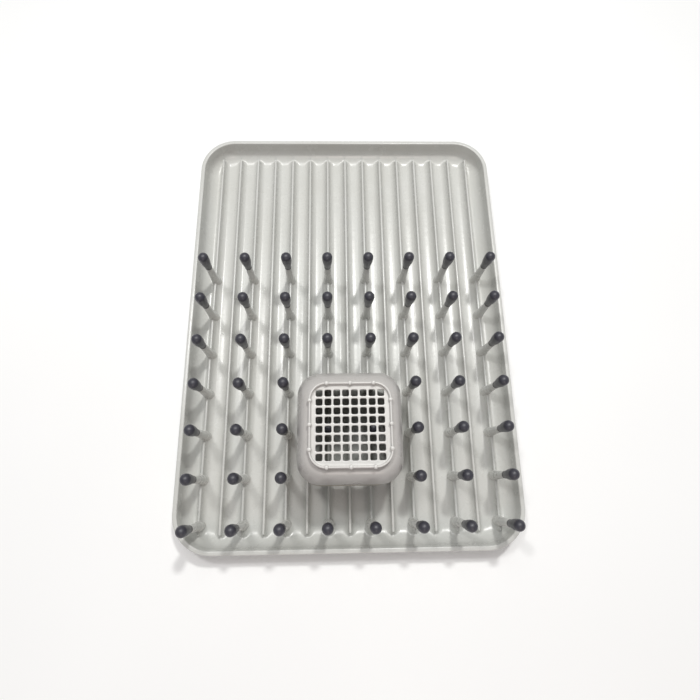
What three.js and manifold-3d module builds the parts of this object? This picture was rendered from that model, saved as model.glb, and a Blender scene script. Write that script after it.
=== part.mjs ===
// Drying tray with a bed of moulded pegs, a soft cap pushed on each peg, and a perforated
// cutlery cup that stands upside down over six of the pegs.
// Millimetres. +Z is up, +Y runs along the tray towards its open end.
// The origin is under the middle of the tray, on the surface that it stands on.

import * as THREE from 'three';
import { mergeVertices } from 'three/addons/utils/BufferGeometryUtils.js';
import Module from 'manifold-3d';

const wasm = await Module();
wasm.setup();

// ---- Driving dimensions ----

const GAP = 0.3; // between pieces that touch

// Tray
const TRAY_WIDTH = 300;
const TRAY_LENGTH = 402;
const TRAY_HEIGHT = 23.8;
const TRAY_CORNER = 34; // corner radius of the outline
const RIM_LAND = 4; // width of the flat top of the wall
const FLOOR = 2.5; // top of the floor between the ridges
const BASE_ROUND = 4; // rounding under the outer wall
const WALL_FILLET = 8; // inside, where the wall meets the floor

// Ridges
const RIDGE_COUNT = 15;
const RIDGE_PITCH = 18.6;
const RIDGE_HEIGHT = 9.3;
const RIDGE_CREST_HALF = 1;
const RIDGE_FOOT_HALF = 6.6;
const RIDGE_NEAR_END = -190.8;
const RIDGE_FAR_END = 190.2;
const RIDGE_NOSE = 7.5; // length over which a ridge's end comes down

// Pegs
const COLUMNS = 8;
const ROWS = 7;
const COLUMN_PITCH = 2 * RIDGE_PITCH;
const ROW_PITCH = 37.84;
const MIDDLE_ROW_Y = -65.4;
const STEM_FOOT_RADIUS = 4.3;
const STEM_TOP_RADIUS = 2.8;
const SPIGOT_RADIUS = 1.8; // the stem's thin end, inside the cap
const PEG_SIDES = 8;

// Caps
const DOME_HEIGHT = 64.3; // middle of the dome, above the surface that the tray stands on
const DOME_RADIUS = 4.6;
const BULGE_DROP = 8; // from the dome's middle down to where the cap starts to draw in
const BULGE_RADIUS = 4.4;
const WAIST_DROP = 16;
const WAIST_RADIUS = 3.45;
const SLEEVE_DROP = 23; // from the dome's middle down to the sleeve's end
const SLEEVE_RADIUS = 3.05;
const CAP_ROOF = 2.5; // thickness of the cap over the spigot's end

// Cup
const CUP_X = -0.7;
const CUP_ROW = 5; // the cup stands over this row and the two beside it
const CUP_HALF_X = 42.4; // half the width across the walls
const CUP_HALF_Y = 43.8;
const CUP_CORNER = 18.5;
const CUP_WALL = 1;
const LIP_OUT = 1;
const LIP_HEIGHT = 2.6;
const SHOULDER_RUN = 9;
const SHOULDER_DROP = 25;
const SHOULDER_TOP = 91.6;
const PLATE_TOP = 92.4;
const PLATE_THICKNESS = 1.8;
const RING_TOP = 96;
const RING_HALF = 32;
const RING_CORNER = 13;
const RING_WALL = 1.4;
const HOLES = 8; // along each side of the perforated base
const HOLE_PITCH = 6.87;
const HOLE_SIDE = 5.25;
const FOOT_RADIUS = 1.2;
const FOOT_TOP_RADIUS = 0.8;
const FOOT_SIDES = 6;
const FOOT_PITCH = 18.3;
const FOOT_HEIGHT = 1;

// Derived
const CREST = FLOOR + RIDGE_HEIGHT;
const SLEEVE_END = DOME_HEIGHT - SLEEVE_DROP;
const SPIGOT_TOP = DOME_HEIGHT + DOME_RADIUS - CAP_ROOF - GAP;
const CUP_Y = MIDDLE_ROW_Y + ((ROWS + 1) / 2 - CUP_ROW) * ROW_PITCH;
const MOUTH = CREST + GAP;

// Construction
const FACE_ANGLES = [25, 50, 70, 90]; // degrees round a quarter curve of the ridges
const ABOVE = 70; // how far a cutting tool runs on past what it cuts
const SHOULDER_STEPS = 4;
const SINK = 0.1; // how far a ridge's foot goes into the floor that it stands on
const OVERLAP = 1; // how far one joined solid goes into the next

// ---- Helpers ----

// A closed three.js geometry as a manifold solid
function solid(geometry) {
  const bare = geometry.clone();
  bare.deleteAttribute('normal');
  bare.deleteAttribute('uv');
  const welded = mergeVertices(bare, 1e-4);
  const vertProperties = new Float32Array(welded.attributes.position.array);
  const triVerts = new Uint32Array(welded.index.array);
  return new wasm.Manifold(new wasm.Mesh({ numProp: 3, vertProperties, triVerts }));
}

function geometryOf(body) {
  const mesh = body.getMesh();
  const geometry = new THREE.BufferGeometry();
  geometry.setAttribute('position', new THREE.BufferAttribute(mesh.vertProperties, 3));
  geometry.setIndex(new THREE.BufferAttribute(mesh.triVerts, 1));
  return geometry;
}

// Every solid of a list, joined two by two
function joined(bodies) {
  if (bodies.length === 1) return bodies[0];
  const middle = Math.ceil(bodies.length / 2);
  return joined(bodies.slice(0, middle)).add(joined(bodies.slice(middle)));
}

function roundedRectangle(halfX, halfY, radius) {
  const shape = new THREE.Shape();
  shape.moveTo(halfX, -halfY + radius);
  shape.lineTo(halfX, halfY - radius);
  shape.absarc(halfX - radius, halfY - radius, radius, 0, Math.PI / 2);
  shape.lineTo(-halfX + radius, halfY);
  shape.absarc(-halfX + radius, halfY - radius, radius, Math.PI / 2, Math.PI);
  shape.lineTo(-halfX, -halfY + radius);
  shape.absarc(-halfX + radius, -halfY + radius, radius, Math.PI, 1.5 * Math.PI);
  shape.lineTo(halfX - radius, -halfY);
  shape.absarc(halfX - radius, -halfY + radius, radius, 1.5 * Math.PI, 2 * Math.PI);
  return shape;
}

// A rounded block from z = low to z = high, with its ends drawn in over a rounding
// that is `run` wide and `drop` tall
function roundedBlock(halfX, halfY, corner, low, high, run = 0, drop = 0, steps = 3) {
  const shape = roundedRectangle(halfX - run, halfY - run, corner - run);
  const geometry = new THREE.ExtrudeGeometry(shape, {
    depth: high - low - 2 * drop,
    curveSegments: 5,
    bevelEnabled: run > 0,
    bevelSize: run,
    bevelThickness: drop,
    bevelSegments: steps,
  });
  geometry.translate(0, 0, low + drop);
  return solid(geometry);
}

function box(lowX, lowY, lowZ, highX, highY, highZ) {
  const geometry = new THREE.BoxGeometry(highX - lowX, highY - lowY, highZ - lowZ);
  geometry.translate((lowX + highX) / 2, (lowY + highY) / 2, (lowZ + highZ) / 2);
  return solid(geometry);
}

// Turned about Z; points are [radius, z]
function turned(points, sides) {
  const profile = points.map(([radius, z]) => new THREE.Vector2(radius, z));
  const geometry = new THREE.LatheGeometry(profile, sides);
  geometry.rotateX(Math.PI / 2);
  return geometry;
}

function polygon(points) {
  return new THREE.Shape(points.map(([x, y]) => new THREE.Vector2(x, y)));
}

// ---- Tray ----

const columnX = (column) => (column - (COLUMNS + 1) / 2) * COLUMN_PITCH;
const rowY = (row) => MIDDLE_ROW_Y + ((ROWS + 1) / 2 - row) * ROW_PITCH;

function traySkin() {
  const halfX = TRAY_WIDTH / 2;
  const halfY = TRAY_LENGTH / 2;
  const outside = roundedBlock(halfX, halfY, TRAY_CORNER, 0, ABOVE, BASE_ROUND, BASE_ROUND, 2);
  const inside = roundedBlock(
    halfX - RIM_LAND,
    halfY - RIM_LAND,
    TRAY_CORNER - RIM_LAND,
    FLOOR,
    ABOVE + WALL_FILLET,
    WALL_FILLET,
    WALL_FILLET,
  );
  const below = box(-TRAY_WIDTH, -TRAY_LENGTH, 0, TRAY_WIDTH, TRAY_LENGTH, TRAY_HEIGHT);
  return outside.intersect(below).subtract(inside);
}

// A ridge's section: a narrow crest, and flanks hollowed to a quarter ellipse that runs out
// flat on the floor
function ridgeSection(x) {
  const hollow = RIDGE_FOOT_HALF - RIDGE_CREST_HALF;
  const flank = FACE_ANGLES.map((degrees) => {
    const angle = THREE.MathUtils.degToRad(degrees);
    const half = RIDGE_FOOT_HALF - hollow * Math.cos(angle);
    return [half, FLOOR - SINK + (RIDGE_HEIGHT + SINK) * (1 - Math.sin(angle))];
  });
  const right = [...flank.reverse(), [RIDGE_CREST_HALF, FLOOR + RIDGE_HEIGHT]];
  const left = right.map(([half, z]) => [-half, z]).reverse();
  const foot = [RIDGE_FOOT_HALF, FLOOR - OVERLAP];
  const outline = [foot, ...right, ...left, [-foot[0], foot[1]]];
  return polygon(outline.map(([half, z]) => [x + half, z]));
}

// Side view of all the ridges: flat crests whose two ends come down in a quarter round
function ridgeSideView() {
  const far = [0, ...FACE_ANGLES].map((degrees) => {
    const angle = THREE.MathUtils.degToRad(degrees);
    const y = RIDGE_FAR_END - RIDGE_NOSE * (1 - Math.cos(angle));
    return [y, FLOOR - SINK + (RIDGE_HEIGHT + 2 * SINK) * Math.sin(angle)];
  });
  const shift = RIDGE_NEAR_END + RIDGE_FAR_END;
  const near = far.map(([y, z]) => [shift - y, z]).reverse();
  return polygon([[RIDGE_NEAR_END, 0], [RIDGE_FAR_END, 0], ...far, ...near]);
}

function ridges() {
  const length = RIDGE_FAR_END - RIDGE_NEAR_END;
  const sections = Array.from({ length: RIDGE_COUNT }, (_, index) =>
    ridgeSection((index - (RIDGE_COUNT - 1) / 2) * RIDGE_PITCH));
  const runs = sections.map((section) => {
    const geometry = new THREE.ExtrudeGeometry(section, { depth: length, bevelEnabled: false });
    geometry.rotateX(Math.PI / 2);
    geometry.translate(0, RIDGE_FAR_END, 0);
    return solid(geometry);
  });
  const side = new THREE.ExtrudeGeometry(ridgeSideView(), { depth: TRAY_WIDTH, bevelEnabled: false });
  side.rotateX(Math.PI / 2);
  side.rotateZ(Math.PI / 2);
  side.translate(-TRAY_WIDTH / 2, 0, 0);
  return joined(runs).intersect(solid(side));
}

// A stem: a taper from the ridge up to the cap's sleeve, then a thin spigot inside the cap
function stem(column, row) {
  const shoulder = SLEEVE_END - GAP;
  const geometry = turned([
    [0, FLOOR - OVERLAP],
    [STEM_FOOT_RADIUS, FLOOR - OVERLAP],
    [STEM_TOP_RADIUS, shoulder],
    [SPIGOT_RADIUS, shoulder],
    [SPIGOT_RADIUS, SPIGOT_TOP],
    [0, SPIGOT_TOP],
  ], PEG_SIDES);
  geometry.translate(columnX(column), rowY(row), 0);
  return solid(geometry);
}

function forEachPeg(visit) {
  for (let row = 1; row <= ROWS; row += 1) {
    for (let column = 1; column <= COLUMNS; column += 1) {
      visit(column, row);
    }
  }
}

function tray() {
  const stems = [];
  forEachPeg((column, row) => stems.push(stem(column, row)));
  return joined([traySkin(), ridges(), ...stems]);
}

// ---- Caps ----

// One soft cap: a dome over a long sleeve that draws in downwards, with a blind bore from below
function capGeometry() {
  const bore = SPIGOT_RADIUS + GAP;
  const slant = DOME_RADIUS * Math.SQRT1_2;
  return turned([
    [0, SPIGOT_TOP + GAP],
    [bore, SPIGOT_TOP + GAP],
    [bore, SLEEVE_END],
    [SLEEVE_RADIUS, SLEEVE_END],
    [WAIST_RADIUS, DOME_HEIGHT - WAIST_DROP],
    [BULGE_RADIUS, DOME_HEIGHT - BULGE_DROP],
    [DOME_RADIUS, DOME_HEIGHT],
    [slant, DOME_HEIGHT + slant],
    [0, DOME_HEIGHT + DOME_RADIUS],
  ], PEG_SIDES);
}

// ---- Cup ----

function cupShell() {
  const walls = (out, low, high, ...end) =>
    roundedBlock(CUP_HALF_X + out, CUP_HALF_Y + out, CUP_CORNER + out, low, high, ...end);
  const shoulder = [SHOULDER_RUN, SHOULDER_DROP, SHOULDER_STEPS];
  const outside = walls(0, MOUTH - ABOVE, SHOULDER_TOP, ...shoulder);
  const inside = walls(-CUP_WALL, MOUTH - ABOVE, PLATE_TOP - PLATE_THICKNESS, ...shoulder);
  const lip = walls(LIP_OUT, MOUTH, MOUTH + LIP_HEIGHT);
  const upper = box(-ABOVE, -ABOVE, MOUTH, ABOVE, ABOVE, RING_TOP);
  const ring = roundedBlock(RING_HALF, RING_HALF, RING_CORNER, SHOULDER_TOP - OVERLAP, RING_TOP);
  return outside.add(ring).intersect(upper).add(lip).subtract(inside);
}

// The square holes of the base, as one cutting tool
function holeGrid() {
  const squares = [];
  const middle = (HOLES - 1) / 2;
  const half = HOLE_SIDE / 2;
  for (let across = 0; across < HOLES; across += 1) {
    for (let along = 0; along < HOLES; along += 1) {
      const x = (across - middle) * HOLE_PITCH;
      const y = (along - middle) * HOLE_PITCH;
      squares.push(polygon([
        [x - half, y - half],
        [x + half, y - half],
        [x + half, y + half],
        [x - half, y + half],
      ]));
    }
  }
  const depth = PLATE_THICKNESS + 2 * OVERLAP;
  const geometry = new THREE.ExtrudeGeometry(squares, { depth, bevelEnabled: false });
  geometry.translate(0, 0, PLATE_TOP + OVERLAP - depth);
  return solid(geometry);
}

// Small round feet on the ring, three along each side, that the cup stands on when it is upright
function ringFeet() {
  const reach = RING_HALF - RING_WALL / 2;
  const feet = [];
  for (let side = 0; side < 4; side += 1) {
    for (const along of [-FOOT_PITCH, 0, FOOT_PITCH]) {
      const height = FOOT_HEIGHT + OVERLAP;
      const geometry = new THREE.CylinderGeometry(FOOT_TOP_RADIUS, FOOT_RADIUS, height, FOOT_SIDES);
      geometry.rotateX(Math.PI / 2);
      geometry.translate(reach, along, RING_TOP + FOOT_HEIGHT - height / 2);
      geometry.rotateZ(side * Math.PI / 2);
      feet.push(solid(geometry));
    }
  }
  return joined(feet);
}

function cup() {
  const recessHalf = RING_HALF - RING_WALL;
  const recess = roundedBlock(recessHalf, recessHalf, RING_CORNER - RING_WALL, PLATE_TOP,
    RING_TOP + OVERLAP);
  return cupShell().subtract(recess).subtract(holeGrid()).add(ringFeet());
}

// ---- Assembly ----

const trayPlastic = { color: 0xd9d8d2, roughness: 0.32, metalness: 0 };
const capRubber = { color: 0x3c3b45, roughness: 0.6, metalness: 0 };
const cupPlastic = { color: 0xcfccc9, roughness: 0.35, metalness: 0 };

function named(name, geometry, finish) {
  const mesh = new THREE.Mesh(geometry, new THREE.MeshStandardMaterial(finish));
  mesh.name = name;
  return mesh;
}

const dryingTray = new THREE.Group();
dryingTray.add(named('tray', geometryOf(tray()), trayPlastic));

forEachPeg((column, row) => {
  const cap = named(`peg_cap_r${row}c${column}`, capGeometry(), capRubber);
  cap.position.set(columnX(column), rowY(row), 0);
  dryingTray.add(cap);
});

const cutleryCup = named('cutlery_cup', geometryOf(cup()), cupPlastic);
cutleryCup.position.set(CUP_X, CUP_Y, 0);
dryingTray.add(cutleryCup);

export default dryingTray;
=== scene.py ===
import math

import bmesh
import bpy
import numpy as np
from mathutils import Euler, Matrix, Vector, geometry


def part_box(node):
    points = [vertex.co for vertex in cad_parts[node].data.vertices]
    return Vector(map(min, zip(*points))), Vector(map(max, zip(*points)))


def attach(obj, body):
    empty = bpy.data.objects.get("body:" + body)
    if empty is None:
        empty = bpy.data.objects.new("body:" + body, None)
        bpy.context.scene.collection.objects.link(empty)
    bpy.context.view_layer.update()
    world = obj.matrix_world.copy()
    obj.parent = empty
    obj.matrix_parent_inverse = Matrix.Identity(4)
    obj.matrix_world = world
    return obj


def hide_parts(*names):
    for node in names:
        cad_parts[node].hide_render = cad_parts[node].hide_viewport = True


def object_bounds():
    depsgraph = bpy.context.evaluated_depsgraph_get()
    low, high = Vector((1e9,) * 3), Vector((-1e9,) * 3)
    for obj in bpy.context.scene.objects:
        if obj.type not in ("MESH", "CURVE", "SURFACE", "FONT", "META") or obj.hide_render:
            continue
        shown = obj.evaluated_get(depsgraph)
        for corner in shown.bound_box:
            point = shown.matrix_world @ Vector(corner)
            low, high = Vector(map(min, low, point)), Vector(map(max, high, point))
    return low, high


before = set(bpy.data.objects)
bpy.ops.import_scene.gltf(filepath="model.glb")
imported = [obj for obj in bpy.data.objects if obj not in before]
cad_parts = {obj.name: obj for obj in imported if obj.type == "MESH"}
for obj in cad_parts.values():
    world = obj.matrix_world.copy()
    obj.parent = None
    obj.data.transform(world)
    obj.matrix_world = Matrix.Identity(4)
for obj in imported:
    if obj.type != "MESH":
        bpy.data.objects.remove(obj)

cad_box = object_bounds()

# All the shape sizes below are in millimetres. A mesh is scaled to metres when it is made.
MM = 0.001
FULL_TURN = 2 * math.pi
QUARTER_TURN = math.pi / 2

# ---------------------------------------------------------------- places, from the CAD
tray_high = Vector(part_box("tray")[1]) / MM
cup_low, cup_high = (Vector(corner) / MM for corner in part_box("cutlery_cup"))
cap_names = sorted(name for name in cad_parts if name.startswith("peg_cap_"))
cap_boxes = {name: [Vector(c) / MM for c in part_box(name)] for name in cap_names}
cap_places = {name: (low + high) / 2 for name, (low, high) in cap_boxes.items()}
# Every cap has the same shape, so the first one gives their heights.
first_low, first_high = cap_boxes[cap_names[0]]
column_pitch = cap_places["peg_cap_r1c2"].x - cap_places["peg_cap_r1c1"].x
column_count = max(int(name.split("c")[-1]) for name in cap_names)

# ---------------------------------------------------------------- tray
RIM_HEIGHT = 23.8
RIM_CORNER = 34.0
LAND = 4.0  # flat top of the wall
LAND_EDGE = 1.1
WALL_DRAFT = math.radians(6)
FLOOR = 2.5
WALL_FILLET = 13.5  # rounding inside, where the wall meets the floor
FILLET_SPLIT = math.radians(45)  # where the flat mesh of the floor hands over to the wall's rings
BASE_ROUND = 4.0
CORNER_STEPS = 20
SIDE_STEPS = 24
END_STEPS = 12
FILLET_STEPS = 7
EDGE_STEPS = 5
BASE_STEPS = 6

RIDGE_HEIGHT = 9.3
RIDGE_FOOT = 6.6
CREST_HALF = 1.05
CREST_ROUND = 0.75
NOSE_NEAR = 193.6  # end of a ridge, towards the pegs
NOSE_FAR = 193.0
NOSE_LENGTH = 8.2  # length over which a ridge's end comes down
BLEND = 0.3  # how softly the ridges run into the wall's fillet
ridge_count = 2 * column_count - 1
ridge_pitch = column_pitch / 2

# ---------------------------------------------------------------- pegs
STEM_TOP = 2.8
STEM_FOOT = 3.95
FLOOR_FLARE = 0.5
CREST_FLARE = 0.4
STEM_EDGE = 0.3
STEM_STEPS = 28
CAP_GAP = 0.3  # between the stem's shoulder and the cap
SPIGOT = 1.8
CAP_STEPS = 36
SLEEVE = 3.0
SLEEVE_PART = 0.94  # share of the cap's length, above the bead round its lower end
SWELL_POWER = 1.4  # above 1, the cap stays wide for longer under its dome
SLEEVE_BEAD = 3.15
BEAD_OUT = 0.25
BEAD_HALF = 0.5
BORE = 2.1
BORE_EDGE = 0.3
BORE_STRAIGHT = -1.0  # where the bore's rounded end starts, from the dome's middle
BORE_ROUND = 0.8
BORE_TIP = 0.4
BORE_END = 0.6
DOME_STEPS = 12
SLEEVE_STEPS = 18
BEAD_STEPS = 8
ball_radius = (first_high.x - first_low.x) / 2
ball_height = first_high.z - ball_radius
sleeve_end = first_low.z
crest_z = FLOOR + RIDGE_HEIGHT

# ---------------------------------------------------------------- cup
HOLES = 8
HOLE_PITCH = 6.87
HOLE_SIDE = 5.25
HOLE_CORNER = 1.3
HOLE_STEPS = 8
HOLE_EDGE = 0.3  # rounding of a hole's rim
HOLE_EDGE_OUT = 0.35  # shares of it that the rounding's middle lies outwards and down
HOLE_EDGE_DOWN = 0.3
CUP_CORNER = 18.5
CUP_WALL = 1.0
LIP_OUT = 1.0
LIP_HEIGHT = 2.6
# the lip's upper side, as steps outwards, of the corner's radius, and upwards
LIP_BLEND = [(0, 0, 1), (0.25, 0, 0.3), (LIP_OUT - 0.1, LIP_OUT, -0.2), (LIP_OUT, LIP_OUT, -0.7)]
MOUTH_EDGE = 0.5
MOUTH_ROUND = 0.4
INSIDE_ROUND = 0.9  # where the inside's rounded end meets the plate
INSIDE_CORNER_ROUND = 0.5
SHOULDER_RUN = 9.0
SHOULDER_DROP = 25.0
SHOULDER_START = math.radians(8)
SHOULDER_STEPS = 16
LEDGE_BLEND = [(0.05, 0, 1.2), (0.35, 0.3, 0.45)]  # from the ring out to the shoulder
RING_WALL = 1.4
RING_HALF = 32.0
RING_CORNER = 13.0
RING_RISE = 6.0
RING_ROUND = 0.6
PLATE_ROUND = 1.0  # fillet between the plate and the ring's inside
ROUND_STEPS = 4
FOOT_HEIGHT = 1.0
FOOT_RADIUS = 1.5
FOOT_PITCH = 18.3
FOOT_DEPTH = 2.4  # how far a foot runs down the ring
FOOT_FLARE = 0.3
FOOT_EDGE = 0.1
FOOT_RISE = 0.35
FOOT_ROUND = 0.7
FOOT_STEPS = 16
PLATE_SINK = 3.6
PLATE_THICKNESS = 1.8


class Shell:
    """The points and faces of one mesh, in millimetres."""

    def __init__(self):
        self.points = []
        self.faces = []

    def ring(self, points):
        start = len(self.points)
        self.points.extend(tuple(float(value) for value in p) for p in points)
        return list(range(start, len(self.points)))

    def bridge(self, lower, upper):
        count = len(lower)
        for i in range(count):
            j = (i + 1) % count
            self.faces.append((lower[i], lower[j], upper[j], upper[i]))

    def loft(self, rings):
        for lower, upper in zip(rings, rings[1:]):
            self.bridge(lower, upper)

    def fan(self, ring, tip):
        point = self.ring([tip])[0]
        for i in range(len(ring)):
            self.faces.append((ring[i], ring[(i + 1) % len(ring)], point))

    def made(self, name, material, body, replaced, sharp=50):
        mesh = bpy.data.meshes.new(name)
        mesh.from_pydata([Vector(p) * MM for p in self.points], [], self.faces)
        bm = bmesh.new()
        bm.from_mesh(mesh)
        bmesh.ops.recalc_face_normals(bm, faces=bm.faces)
        limit = math.radians(sharp)
        for face in bm.faces:
            face.smooth = True
        for edge in bm.edges:
            edge.smooth = edge.calc_face_angle(0) < limit
        bm.to_mesh(mesh)
        bm.free()
        mesh.materials.append(material)
        piece = bpy.data.objects.new(name, mesh)
        bpy.context.scene.collection.objects.link(piece)
        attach(piece, body)
        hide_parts(replaced)
        return piece


def arc(start, end, steps):
    return [start + (end - start) * i / steps for i in range(steps + 1)]


# ---------------------------------------------------------------- materials
def new_material(name):
    material = bpy.data.materials.new(name)
    material.use_nodes = True
    tree = material.node_tree
    return material, tree, tree.nodes["Principled BSDF"]


def place_noise(tree, scale, detail=2.0, roughness=0.5):
    """A noise pattern fixed to the object, with scale in waves per metre."""
    place = tree.nodes.new("ShaderNodeTexCoord")
    noise = tree.nodes.new("ShaderNodeTexNoise")
    noise.inputs["Scale"].default_value = scale
    noise.inputs["Detail"].default_value = detail
    noise.inputs["Roughness"].default_value = roughness
    tree.links.new(place.outputs["Object"], noise.inputs["Vector"])
    return noise.outputs["Fac"]


def ramp(tree, source, stops):
    node = tree.nodes.new("ShaderNodeValToRGB")
    elements = node.color_ramp.elements
    while len(elements) < len(stops):
        elements.new(0.5)
    for element, (position, colour) in zip(elements, stops):
        element.position = position
        element.color = (*colour, 1)
    tree.links.new(source, node.inputs["Fac"])
    return node.outputs["Color"]


def spread(tree, source, low, high):
    node = tree.nodes.new("ShaderNodeMapRange")
    node.inputs["From Min"].default_value = 0.3
    node.inputs["From Max"].default_value = 0.7
    node.inputs["To Min"].default_value = low
    node.inputs["To Max"].default_value = high
    tree.links.new(source, node.inputs["Value"])
    return node.outputs["Result"]


def multiply(tree, first, second):
    node = tree.nodes.new("ShaderNodeMix")
    node.data_type = "RGBA"
    node.blend_type = "MULTIPLY"
    node.inputs["Factor"].default_value = 1
    tree.links.new(first, node.inputs["A"])
    tree.links.new(second, node.inputs["B"])
    return node.outputs["Result"]


def add_bump(tree, shader, heights):
    """Bump from several patterns, each with its depth in metres."""
    last = None
    for source, depth in heights:
        bump = tree.nodes.new("ShaderNodeBump")
        bump.inputs["Strength"].default_value = 1
        bump.inputs["Distance"].default_value = depth
        tree.links.new(source, bump.inputs["Height"])
        if last is not None:
            tree.links.new(last, bump.inputs["Normal"])
        last = bump.outputs["Normal"]
    tree.links.new(last, shader.inputs["Normal"])


def tint_by_height(tree, low, high, stops):
    """A colour that changes up the piece, from low to high in metres as the piece rests."""
    place = tree.nodes.new("ShaderNodeTexCoord")
    split = tree.nodes.new("ShaderNodeSeparateXYZ")
    tree.links.new(place.outputs["Object"], split.inputs["Vector"])
    along = tree.nodes.new("ShaderNodeMapRange")
    along.inputs["From Min"].default_value = low
    along.inputs["From Max"].default_value = high
    tree.links.new(split.outputs["Z"], along.inputs["Value"])
    return ramp(tree, along.outputs["Result"], stops)


def moulded_plastic(name, pale, deep, rough_low, rough_high, levels=()):
    """Off-white moulded plastic: cloudy tint, faint speckle, slight orange peel.

    levels are heights in metres, each with a tint of painted shade. They darken the piece where
    its sides and inside lie in shade and its thin walls let light through.
    """
    material, tree, shader = new_material(name)
    cloud = place_noise(tree, 14, 3)
    speckle = place_noise(tree, 900, 2)
    peel = place_noise(tree, 260, 1)
    grain = place_noise(tree, 2600, 2)
    smear = place_noise(tree, 45, 4, 0.6)
    tint = ramp(tree, cloud, [(0.35, deep), (0.65, pale)])
    specks = ramp(tree, speckle, [(0.28, (0.93, 0.92, 0.90)), (0.42, (1, 1, 1))])
    colour = multiply(tree, tint, specks)
    # painted shade: the colour is darkened up or down the piece by the levels' tints
    if levels:
        top = levels[-1][0]
        stops = [(height / top, shade) for height, shade in levels]
        colour = multiply(tree, colour, tint_by_height(tree, 0, top, stops))
    tree.links.new(colour, shader.inputs["Base Color"])
    tree.links.new(spread(tree, smear, rough_low, rough_high), shader.inputs["Roughness"])
    shader.inputs["IOR"].default_value = 1.49
    add_bump(tree, shader, [(peel, 0.00006), (grain, 0.000008)])
    return material


def cap_rubber(name):
    """Dark grey rubber: solid in the ball, thinner and paler down the sleeve, with painted shade
    on the bead at its lower end.
    """
    material, tree, shader = new_material(name)
    sleeve_tone_and_bead_shade = tint_by_height(tree, sleeve_end * MM, ball_height * MM, [
        # The two lowest stops are painted shade, a dark band on the rounded bead at the sleeve's
        # lower end. The paler stops above are the thin sleeve's own tone.
        (0.00, (0.026, 0.026, 0.026)),
        (0.05, (0.034, 0.034, 0.034)),
        (0.10, (0.095, 0.094, 0.090)),
        (0.35, (0.080, 0.080, 0.080)),
        (0.62, (0.048, 0.048, 0.054)),
        (1.00, (0.038, 0.037, 0.048)),
    ])
    cloud = place_noise(tree, 330, 3)
    mottle = ramp(tree, cloud, [(0.3, (0.84, 0.84, 0.86)), (0.7, (1, 1, 1))])
    tree.links.new(multiply(tree, sleeve_tone_and_bead_shade, mottle), shader.inputs["Base Color"])
    dull = place_noise(tree, 420, 3)
    tree.links.new(spread(tree, dull, 0.42, 0.54), shader.inputs["Roughness"])
    shader.inputs["IOR"].default_value = 1.5
    shader.inputs["Coat Weight"].default_value = 0.4
    shader.inputs["Coat Roughness"].default_value = 0.42
    shader.inputs["Coat Tint"].default_value = (0.94, 0.94, 1.0, 1)
    add_bump(tree, shader, [(place_noise(tree, 1900, 3), 0.00003)])
    return material


# ---------------------------------------------------------------- camera
CAMERA_PLACE = Vector((-0.0125, -0.14587, 0.51063))
CAMERA_TURN = (0.3302, -0.0258, -0.0155)
CAMERA_LENS = 27.526
CAMERA_SHIFT = -0.0714

camera_data = bpy.data.cameras.new("camera")
camera_data.lens = CAMERA_LENS
camera_data.sensor_width = 36
camera_data.shift_y = CAMERA_SHIFT
camera_data.clip_start = 0.02
camera = bpy.data.objects.new("camera", camera_data)
camera.location = CAMERA_PLACE
camera.rotation_euler = Euler(CAMERA_TURN, "XYZ")
bpy.context.scene.collection.objects.link(camera)
bpy.context.scene.camera = camera


# ---------------------------------------------------------------- tray surface
half_x = tray_high.x
half_y = tray_high.y
fillet_rise = WALL_FILLET * (1 - math.sin(WALL_DRAFT))
draft_run = (RIM_HEIGHT - LAND_EDGE - FLOOR - fillet_rise) * math.tan(WALL_DRAFT)
fillet_centre = LAND + draft_run + WALL_FILLET * math.cos(WALL_DRAFT)


def outline(inset, height=0.0):
    """The tray's rounded outline, moved inwards by inset."""
    signs = [(1, 1), (-1, 1), (-1, -1), (1, -1)]
    radius = RIM_CORNER - inset

    def on_corner(corner, angle):
        sx, sy = signs[corner % 4]
        x = sx * (half_x - RIM_CORNER) + radius * math.cos(angle)
        y = sy * (half_y - RIM_CORNER) + radius * math.sin(angle)
        return (x, y, height)

    points = []
    for corner in range(4):
        end_angle = (corner + 1) * QUARTER_TURN
        for angle in arc(corner * QUARTER_TURN, end_angle, CORNER_STEPS):
            points.append(on_corner(corner, angle))
        start = points[-1]
        end = on_corner(corner + 1, end_angle)
        steps = END_STEPS if corner % 2 == 0 else SIDE_STEPS
        for i in range(1, steps):
            share = i / steps
            x = start[0] + (end[0] - start[0]) * share
            y = start[1] + (end[1] - start[1]) * share
            points.append((x, y, height))
    return points


def inset_of(x, y):
    """How far a point lies inside the tray's outline."""
    qx = np.abs(x) - (half_x - RIM_CORNER)
    qy = np.abs(y) - (half_y - RIM_CORNER)
    outside = np.hypot(np.maximum(qx, 0), np.maximum(qy, 0))
    return RIM_CORNER - outside - np.minimum(np.maximum(qx, qy), 0)


def ridge_profile(distance):
    """The height of a ridge above the floor, at a distance from its crest line."""
    d = np.abs(distance)
    past = np.maximum(d - (CREST_HALF - CREST_ROUND), 0)
    crown = RIDGE_HEIGHT - CREST_ROUND + np.sqrt(np.maximum(CREST_ROUND**2 - past**2, 0))
    share = np.clip((RIDGE_FOOT - d) / (RIDGE_FOOT - CREST_HALF), 0, 1)
    flank = (RIDGE_HEIGHT - CREST_ROUND) * (1 - np.sqrt(1 - share**2))
    return np.where(d <= CREST_HALF, crown, flank)


crest_far = NOSE_FAR - NOSE_LENGTH
crest_near = NOSE_NEAR - NOSE_LENGTH
nose_stretch = NOSE_LENGTH / RIDGE_FOOT


def ridge_height(x, y):
    last = ridge_count // 2
    nearest = np.clip(np.round(x / ridge_pitch), -last, last) * ridge_pitch
    past_end = np.maximum(np.maximum(y - crest_far, -crest_near - y), 0) / nose_stretch
    return ridge_profile(np.hypot(x - nearest, past_end))


def fillet_height(x, y):
    past = np.clip(fillet_centre - inset_of(x, y), 0, WALL_FILLET)
    return WALL_FILLET - np.sqrt(WALL_FILLET**2 - past**2)


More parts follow.
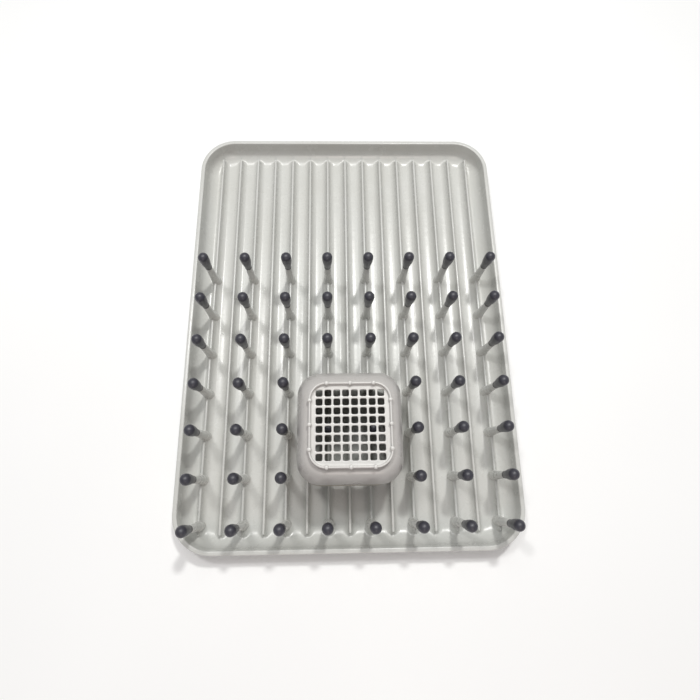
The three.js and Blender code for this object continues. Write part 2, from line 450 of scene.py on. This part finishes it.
def surface_height(x, y):
    """The tray's inside surface: floor, ridges and the fillet to the wall, blended."""
    ridge = ridge_height(x, y)
    fillet = fillet_height(x, y)
    near = np.maximum(BLEND - np.abs(ridge - fillet), 0) ** 2 / (4 * BLEND)
    both = np.clip(np.minimum(ridge, fillet) / BLEND, 0, 1)
    return FLOOR + np.maximum(ridge, fillet) + near * both


crown_angles = [math.radians(a) for a in (0, 30, 60, 82)]
flank_angles = [math.radians(a) for a in (6, 13, 21, 30, 40, 50, 60, 75, 90)]
flank_run = RIDGE_FOOT - CREST_HALF
ridge_offsets = [CREST_HALF - CREST_ROUND + CREST_ROUND * math.sin(a) for a in crown_angles]
ridge_offsets += [RIDGE_FOOT - flank_run * math.cos(a) for a in flank_angles]
fillet_angles = [math.radians(a) for a in (0, 8, 15, 22, 30, 38)]
fillet_insets = [fillet_centre - WALL_FILLET * math.sin(a) for a in fillet_angles]
split_inset = fillet_centre - WALL_FILLET * math.sin(FILLET_SPLIT)
NOSE_STEPS = 14
CORNER_RAYS = 24
CORNER_LINES = 8
INSIDE_FACES = 1  # the kind of result that keeps only the triangles inside the outline
MERGE_DISTANCE = 1e-5
POINT_SPACING = 0.28  # points closer than half of this are dropped
LINE_SPACING = 0.03  # but along one line across the tray they may be this close
SAME_LINE = 0.01


def ridge_lines():
    """The x of every line of points along the ridges, and of the middle of each valley."""
    lines = []
    for i in range(ridge_count):
        centre = (i - ridge_count // 2) * ridge_pitch
        lines += [centre + side * d for d in ridge_offsets for side in (-1, 1)]
        lines += [centre, centre + ridge_pitch / 2]
    lines += [-half_x + inset for inset in fillet_insets]
    lines += [half_x - inset for inset in fillet_insets]
    inner = half_x - split_inset - POINT_SPACING
    return sorted(x for x in lines if abs(x) < inner)


def nose_points():
    """Points round both ends of every ridge."""
    places = []
    for i in range(ridge_count):
        centre = (i - ridge_count // 2) * ridge_pitch
        for end, turn in ((crest_far, 1), (-crest_near, -1)):
            places.append((centre, end))
            for d in ridge_offsets:
                for angle in arc(0, math.pi, NOSE_STEPS):
                    x = centre + d * math.cos(angle)
                    y = end + turn * d * math.sin(angle) * nose_stretch
                    places.append((x, y))
    return places


def corner_points():
    """Points of the fillet where it turns round the tray's four corners."""
    places = []
    for sx in (-1, 1):
        for sy in (-1, 1):
            for inset in fillet_insets:
                for angle in arc(0, QUARTER_TURN, CORNER_RAYS):
                    x = sx * (half_x - RIM_CORNER + (RIM_CORNER - inset) * math.cos(angle))
                    y = sy * (half_y - RIM_CORNER + (RIM_CORNER - inset) * math.sin(angle))
                    places.append((x, y))
    return places


def crossing_points():
    """Points where the lengthwise lines cross lines that run across the tray."""
    corner_y = half_y - RIM_CORNER
    past_ends = [half_y - inset for inset in fillet_insets]
    cross_lines = arc(-corner_y, corner_y, SIDE_STEPS)
    cross_lines += arc(corner_y, crest_far, CORNER_LINES)[1:]
    cross_lines += [-y for y in arc(corner_y, crest_near, CORNER_LINES)[1:]]
    cross_lines += past_ends + [-y for y in past_ends]
    places = []
    for y in cross_lines:
        straight = -crest_near <= y <= crest_far
        for x in ridge_lines():
            in_corner = abs(x) > half_x - RIM_CORNER and abs(y) > corner_y
            ridge = float(ridge_height(x, y))
            fillet = float(fillet_height(x, y))
            if in_corner and fillet > ridge:
                continue
            if not straight and ridge > 0:
                continue
            places.append((x, y))
    return places


def surface_points():
    """The places of the tray surface's points, thinned where they would crowd."""
    kept, seen = [], {}
    for x, y in nose_points() + corner_points() + crossing_points():
        if float(inset_of(x, y)) < split_inset + POINT_SPACING:
            continue
        key = (round(x / POINT_SPACING), round(y / POINT_SPACING))
        around = [(key[0] + i, key[1] + j) for i in (-1, 0, 1) for j in (-1, 0, 1)]
        crowded = False
        for cell in around:
            for px, py in seen.get(cell, []):
                close = LINE_SPACING if abs(py - y) < SAME_LINE else POINT_SPACING / 2
                crowded = crowded or math.hypot(px - x, py - y) < close
        if not crowded:
            seen.setdefault(key, []).append((x, y))
            kept.append((x, y))
    return kept


def tray_body(shell):
    loop = outline(split_inset)
    count = len(loop)
    flat = [Vector((p[0], p[1])) for p in loop]
    flat += [Vector(p) for p in surface_points()]
    border = [(i, (i + 1) % count) for i in range(count)]
    inside = [list(range(count))]
    found = geometry.delaunay_2d_cdt(flat, border, inside, INSIDE_FACES, MERGE_DISTANCE)
    coords, faces, origins = found[0], found[2], found[3]
    xs = np.array([p.x for p in coords])
    ys = np.array([p.y for p in coords])
    zs = surface_height(xs, ys)
    base = shell.ring(zip(xs, ys, zs))
    shell.faces += [tuple(base[i] for i in face) for face in faces]
    made_from = {}
    for index, sources in enumerate(origins):
        for source in sources:
            made_from[source] = index
    rings = [[base[made_from[i]] for i in range(count)]]
    for angle in arc(FILLET_SPLIT, QUARTER_TURN - WALL_DRAFT, FILLET_STEPS)[1:]:
        inset = fillet_centre - WALL_FILLET * math.sin(angle)
        height = FLOOR + WALL_FILLET * (1 - math.cos(angle))
        rings.append(shell.ring(outline(inset, height)))
    for angle in arc(WALL_DRAFT, QUARTER_TURN, EDGE_STEPS):
        inset = LAND - LAND_EDGE * (1 - math.cos(angle))
        height = RIM_HEIGHT - LAND_EDGE + LAND_EDGE * math.sin(angle)
        rings.append(shell.ring(outline(inset, height)))
    for angle in arc(QUARTER_TURN, 0, EDGE_STEPS):
        inset = LAND_EDGE * (1 - math.cos(angle))
        height = RIM_HEIGHT - LAND_EDGE + LAND_EDGE * math.sin(angle)
        rings.append(shell.ring(outline(inset, height)))
    for angle in arc(0, QUARTER_TURN, BASE_STEPS):
        inset = BASE_ROUND * (1 - math.cos(angle))
        height = BASE_ROUND * (1 - math.sin(angle))
        rings.append(shell.ring(outline(inset, height)))
    shell.loft(rings)
    shell.faces.append(tuple(rings[-1]))


# ---------------------------------------------------------------- stems
stem_taper = (STEM_FOOT - STEM_TOP) / (sleeve_end - crest_z)
stem_end = sleeve_end - CAP_GAP


def stem_profile():
    """Radius and height of a stem, from inside the floor up to its thin end in the cap."""
    # close together where the stem widens into the floor and into the ridge's crest
    heights = arc(FLOOR - FLOOR_FLARE, FLOOR + 3 * FLOOR_FLARE, 5)
    heights += arc(crest_z - CREST_FLARE, crest_z + 4 * CREST_FLARE, 8)
    heights += arc(crest_z + 6 * CREST_FLARE, stem_end - STEM_EDGE, 3)
    profile = []
    for z in heights:
        radius = STEM_TOP + (stem_end - z) * stem_taper
        radius += FLOOR_FLARE * math.exp(-max(z - FLOOR, 0) / FLOOR_FLARE)
        radius += CREST_FLARE * math.exp(-max(z - crest_z, 0) / (1.5 * CREST_FLARE))
        profile.append((radius, z))
    profile.append((STEM_TOP - STEM_EDGE, stem_end))
    profile += [(SPIGOT, stem_end), (SPIGOT, tray_high.z - STEM_EDGE)]
    profile.append((SPIGOT - STEM_EDGE, tray_high.z))
    return profile


def turned(shell, profile, x, y, steps, first_tip, last_tip):
    """A closed body turned about a vertical line through x, y."""
    rings = []
    for radius, z in profile:
        turn = [FULL_TURN * i / steps for i in range(steps)]
        points = [(x + radius * math.cos(a), y + radius * math.sin(a), z) for a in turn]
        rings.append(shell.ring(points))
    shell.loft(rings)
    shell.fan(rings[0], (x, y, first_tip))
    shell.fan(rings[-1], (x, y, last_tip))


# ---------------------------------------------------------------- caps
def cap_profile():
    """Radius and height of the cap's outside and bore, from its top to the bore's end."""
    profile = []
    for angle in arc(QUARTER_TURN, 0, DOME_STEPS)[1:]:
        profile.append((ball_radius * math.cos(angle), ball_radius * math.sin(angle)))
    drop = ball_height - sleeve_end
    for share in arc(0, SLEEVE_PART, SLEEVE_STEPS)[1:]:
        swell = (1 - math.cos(math.pi * share**SWELL_POWER)) / 2
        profile.append((ball_radius + (SLEEVE - ball_radius) * swell, -share * drop))
    for angle in arc(QUARTER_TURN, -QUARTER_TURN, BEAD_STEPS):
        r = SLEEVE_BEAD - BEAD_OUT + BEAD_OUT * math.cos(angle)
        profile.append((r, -drop + BEAD_HALF + BEAD_HALF * math.sin(angle)))
    profile += [(BORE + BORE_EDGE, -drop), (BORE, -drop + BORE_EDGE)]
    profile += [(BORE, BORE_STRAIGHT), (BORE - BORE_ROUND, BORE_TIP)]
    return [(r, ball_height + z) for r, z in profile]


# ---------------------------------------------------------------- cup
cup_x = (cup_low.x + cup_high.x) / 2
cup_y = (cup_low.y + cup_high.y) / 2
cup_half = (cup_high.x - cup_low.x) / 2 - LIP_OUT
cup_longer = (cup_high.y - cup_low.y) / 2 - LIP_OUT - cup_half
ring_top = cup_high.z - FOOT_HEIGHT
plate_top = ring_top - PLATE_SINK
plate_bottom = plate_top - PLATE_THICKNESS
shoulder_top = ring_top - RING_RISE
wall_top = shoulder_top - SHOULDER_DROP
top_half = cup_half - SHOULDER_RUN
mouth = cup_low.z
field_half = HOLES * HOLE_PITCH / 2
SIDE_POINTS = HOLES * HOLE_STEPS
ARC_SHARE = 0.3


def four_sides(side, cx, cy, z):
    """A closed square loop made of one side's points, turned to face -y, +x, +y and -x."""
    points = []
    for turn in range(4):
        for x, y in side:
            for _ in range(turn):
                x, y = -y, x
            points.append((cx + x, cy + y, z))
    return points


def square_loop(half, corner, z, side_points=SIDE_POINTS, arc_share=ARC_SHARE, centre=None):
    """A rounded square loop. Each side gives part of its points to its two half corners."""
    cx, cy = (cup_x, cup_y) if centre is None else centre
    in_arc = max(1, round(side_points * arc_share / 2))
    straight = side_points - 2 * in_arc
    side = []
    for i in range(side_points):
        if i < in_arc:
            a = math.pi / 4 * (1 - i / in_arc)
            across = -(half - corner) - corner * math.sin(a)
            out = half - corner + corner * math.cos(a)
        elif i <= in_arc + straight:
            across = -(half - corner) + 2 * (half - corner) * (i - in_arc) / straight
            out = half
        else:
            a = math.pi / 4 * (i - in_arc - straight) / in_arc
            across = half - corner + corner * math.sin(a)
            out = half - corner + corner * math.cos(a)
        side.append((across, -out))
    return four_sides(side, cx, cy, z)


def field_loop(z):
    """The square round the holes, with points where the cells' edges end."""
    side = [(x, -field_half) for x in arc(-field_half, field_half, SIDE_POINTS)[:-1]]
    return four_sides(side, cup_x, cup_y, z)


def cell_loop(cx, cy, z):
    half = HOLE_PITCH / 2
    side = [(x, -half) for x in arc(-half, half, HOLE_STEPS)[:-1]]
    return four_sides(side, cx, cy, z)


def hole_loop(cx, cy, half, z):
    return square_loop(half, HOLE_CORNER, z, HOLE_STEPS, 0.5, (cx, cy))


def plate(shell):
    """The perforated plate: every cell has its own ring of points round its hole."""
    half = HOLE_SIDE / 2
    wide = half + HOLE_EDGE
    blend = half + HOLE_EDGE * HOLE_EDGE_OUT
    blend_z = plate_top - HOLE_EDGE * HOLE_EDGE_DOWN
    for row in range(HOLES):
        for column in range(HOLES):
            cx = cup_x + (column + 0.5) * HOLE_PITCH - field_half
            cy = cup_y + (row + 0.5) * HOLE_PITCH - field_half
            rings = [
                shell.ring(cell_loop(cx, cy, plate_top)),
                shell.ring(hole_loop(cx, cy, wide, plate_top)),
                shell.ring(hole_loop(cx, cy, blend, blend_z)),
                shell.ring(hole_loop(cx, cy, half, plate_top - HOLE_EDGE)),
                shell.ring(hole_loop(cx, cy, half, plate_bottom + HOLE_EDGE)),
                shell.ring(hole_loop(cx, cy, wide, plate_bottom)),
                shell.ring(cell_loop(cx, cy, plate_bottom)),
            ]
            shell.loft(rings)


def ring_foot(shell, x, y):
    """A small domed foot on the ring."""
    base = ring_top - FOOT_DEPTH
    dome = FOOT_HEIGHT - FOOT_RISE
    profile = [(FOOT_RADIUS + FOOT_FLARE, base), (FOOT_RADIUS + FOOT_EDGE, ring_top + FOOT_EDGE)]
    for angle in arc(0, QUARTER_TURN, ROUND_STEPS)[:-1]:
        r = FOOT_RADIUS - FOOT_ROUND + FOOT_ROUND * math.cos(angle)
        profile.append((r, ring_top + FOOT_RISE + dome * math.sin(angle)))
    turned(shell, profile, x, y, FOOT_STEPS, base, cup_high.z)


def cup_loop(half, corner, z):
    """A rounded square loop of the cup, which is longer along the tray outside its ring."""
    stretch = cup_longer * min(max((half - RING_HALF) / (cup_half - RING_HALF), 0), 1)
    straight = half - corner
    points = []
    for x, y, level in square_loop(half, corner, z):
        share = max(min((y - cup_y) / straight, 1), -1)
        points.append((x, y + share * stretch, level))
    return points


def ring_levels():
    """Half width, corner radius and height of the loops from the plate over the ring."""
    ring_in = RING_HALF - RING_WALL
    inner_corner = RING_CORNER - RING_WALL
    levels = []
    for angle in arc(0, QUARTER_TURN, ROUND_STEPS):
        inset = PLATE_ROUND * (1 - math.sin(angle))
        z = plate_top + PLATE_ROUND * (1 - math.cos(angle))
        levels.append((ring_in - inset, inner_corner - inset, z))
    for angle in arc(0, QUARTER_TURN, ROUND_STEPS):
        out = RING_ROUND * (1 - math.cos(angle))
        z = ring_top - RING_ROUND + RING_ROUND * math.sin(angle)
        levels.append((ring_in + out, inner_corner + out, z))
    for angle in arc(QUARTER_TURN, 0, ROUND_STEPS):
        inset = RING_ROUND * (1 - math.cos(angle))
        z = ring_top - RING_ROUND + RING_ROUND * math.sin(angle)
        levels.append((RING_HALF - inset, RING_CORNER - inset, z))
    return levels


def outside_levels():
    """The same from the ledge round the ring down to the lip."""
    levels = []
    for out, corner_out, rise in LEDGE_BLEND:
        levels.append((RING_HALF + out, RING_CORNER + corner_out, shoulder_top + rise))
    top_corner = RING_CORNER + top_half - RING_HALF
    for angle in arc(SHOULDER_START, QUARTER_TURN, SHOULDER_STEPS):
        half = top_half + SHOULDER_RUN * math.sin(angle)
        corner = top_corner + (CUP_CORNER - top_corner) * math.sin(angle)
        levels.append((half, corner, shoulder_top - SHOULDER_DROP * (1 - math.cos(angle))))
    levels.append((cup_half, CUP_CORNER, (wall_top + mouth) / 2))
    for out, corner_out, rise in LIP_BLEND:
        levels.append((cup_half + out, CUP_CORNER + corner_out, mouth + LIP_HEIGHT + rise))
    lip_corner = CUP_CORNER + LIP_OUT
    levels.append((cup_half + LIP_OUT, lip_corner, mouth + MOUTH_EDGE))
    levels.append((cup_half + LIP_OUT - MOUTH_ROUND, lip_corner - MOUTH_ROUND, mouth))
    return levels


def inside_levels():
    """The same from the mouth up the inside to the plate's lower side."""
    inside = cup_half - CUP_WALL
    inside_corner = CUP_CORNER - CUP_WALL
    end_half = top_half - CUP_WALL
    end_corner = RING_CORNER - RING_WALL
    levels = [
        (inside + MOUTH_ROUND, inside_corner, mouth),
        (inside, inside_corner, mouth + MOUTH_EDGE),
        (inside, inside_corner, wall_top),
    ]
    for angle in arc(QUARTER_TURN, 0, SHOULDER_STEPS)[1:]:
        half = end_half + (inside - end_half) * math.sin(angle)
        corner = end_corner + (inside_corner - end_corner) * math.sin(angle)
        z = wall_top + (plate_bottom - INSIDE_ROUND - wall_top) * math.cos(angle)
        levels.append((half, corner, z))
    levels.append((end_half - INSIDE_ROUND, end_corner - INSIDE_CORNER_ROUND, plate_bottom))
    return levels


def cup_body(shell):
    """The cup's wall in one go, from the holes' field outwards, down, and up the inside."""
    rings = [shell.ring(field_loop(plate_top))]
    for level in ring_levels() + outside_levels() + inside_levels():
        rings.append(shell.ring(cup_loop(*level)))
    rings.append(shell.ring(field_loop(plate_bottom)))
    shell.loft(rings)


# ---------------------------------------------------------------- pieces
TRAY_PALE = (0.590, 0.592, 0.570)
TRAY_DEEP = (0.566, 0.566, 0.540)
CUP_PALE = (0.640, 0.625, 0.605)
CUP_DEEP = (0.610, 0.594, 0.572)
WELD_DISTANCE = 0.02

# Painted shade by height: the wall is darkest, the shoulder less so, and the plate on top is left
# as it is. The mouth is warm and dark for the shaded inside seen through the holes.
cup_painted_shade = [
    (mouth * MM, (0.70, 0.68, 0.61)),
    (wall_top * MM, (0.56, 0.55, 0.55)),
    (shoulder_top * MM, (0.74, 0.73, 0.73)),
    (plate_top * MM, (1, 1, 1)),
    (cup_high.z * MM, (1, 1, 1)),
]
tray_white = moulded_plastic("tray_plastic", TRAY_PALE, TRAY_DEEP, 0.20, 0.32)
cup_white = moulded_plastic("cup_plastic", CUP_PALE, CUP_DEEP, 0.24, 0.34, cup_painted_shade)
rubber = cap_rubber("cap_rubber")

tray_shell = Shell()
tray_body(tray_shell)
for place in cap_places.values():
    turned(tray_shell, stem_profile(), place.x, place.y, STEM_STEPS, FLOOR, tray_high.z)
tray_shell.made("tray_moulding", tray_white, "tray", "tray", sharp=60)

for name in cap_names:
    cap_shell = Shell()
    x, y = cap_places[name].x, cap_places[name].y
    turned(cap_shell, cap_profile(), x, y, CAP_STEPS, first_high.z, ball_height + BORE_END)
    cap_shell.made("soft_" + name[len("peg_"):], rubber, "tray", name)

cup_shell = Shell()
plate(cup_shell)
cup_body(cup_shell)
middle = RING_HALF - RING_WALL / 2
for along in (-FOOT_PITCH, 0, FOOT_PITCH):
    for x, y in ((along, middle), (along, -middle), (middle, along), (-middle, along)):
        ring_foot(cup_shell, cup_x + x, cup_y + y)
cup = cup_shell.made("cup_moulding", cup_white, "cup", "cutlery_cup")
welded = bmesh.new()
welded.from_mesh(cup.data)
bmesh.ops.remove_doubles(welded, verts=welded.verts, dist=WELD_DISTANCE * MM)
welded.to_mesh(cup.data)
welded.free()


# ---------------------------------------------------------------- stage and light
FLOOR_HALF = 3.0  # in metres
FLOOR_STEPS = 12
FLOOR_LEVEL = -0.0002


def stage_floor():
    material, tree, shader = new_material("pale_floor")
    tone = place_noise(tree, 3, 2)
    colours = [(0.3, (0.90, 0.90, 0.90)), (0.7, (0.93, 0.93, 0.93))]
    tree.links.new(ramp(tree, tone, colours), shader.inputs["Base Color"])
    shader.inputs["Roughness"].default_value = 0.9
    mesh = bpy.data.meshes.new("floor")
    spots = arc(-FLOOR_HALF, FLOOR_HALF, FLOOR_STEPS)
    points = [(x, y, FLOOR_LEVEL) for y in spots for x in spots]
    width = FLOOR_STEPS + 1
    faces = []
    for j in range(FLOOR_STEPS):
        for i in range(FLOOR_STEPS):
            a = j * width + i
            faces.append((a, a + 1, a + 1 + width, a + width))
    mesh.from_pydata(points, [], faces)
    mesh.materials.append(material)
    floor = bpy.data.objects.new("floor", mesh)
    bpy.context.scene.collection.objects.link(floor)


def area_light(name, offset, size, power, colour):
    """A round lamp at an offset from the tray's middle, which it points at."""
    data = bpy.data.lights.new(name, "AREA")
    data.shape = "DISK"
    data.size = size
    data.energy = power
    data.color = colour
    light = bpy.data.objects.new(name, data)
    light.location = tray_middle + Vector(offset)
    light.rotation_euler = (-Vector(offset)).to_track_quat("-Z", "Y").to_euler()
    bpy.context.scene.collection.objects.link(light)


stage_floor()
box_low, box_high = (Vector(corner) for corner in cad_box)
tray_middle = Vector(((box_low.x + box_high.x) / 2, (box_low.y + box_high.y) / 2, 0))
area_light("key", (0.27, 0.58, 1.6), 0.13, 11.6, (1.0, 1.0, 0.975))
area_light("softbox", (-0.1, 0.42, 1.45), 0.8, 5.2, (0.98, 1.0, 0.985))
area_light("left_fill", (-0.41, 0.32, 1.4), 0.14, 4.0, (1.0, 0.99, 0.98))
area_light("near_fill", (0.1, -1.2, 0.9), 0.5, 3.0, (1.0, 0.84, 0.77))

world = bpy.data.worlds.new("studio")
world.use_nodes = True
sky = world.node_tree.nodes["Background"]
sky.inputs["Color"].default_value = (0.98, 0.985, 1.0, 1)
sky.inputs["Strength"].default_value = 0.34
bpy.context.scene.world = world
bpy.context.scene.view_settings.view_transform = "Standard"
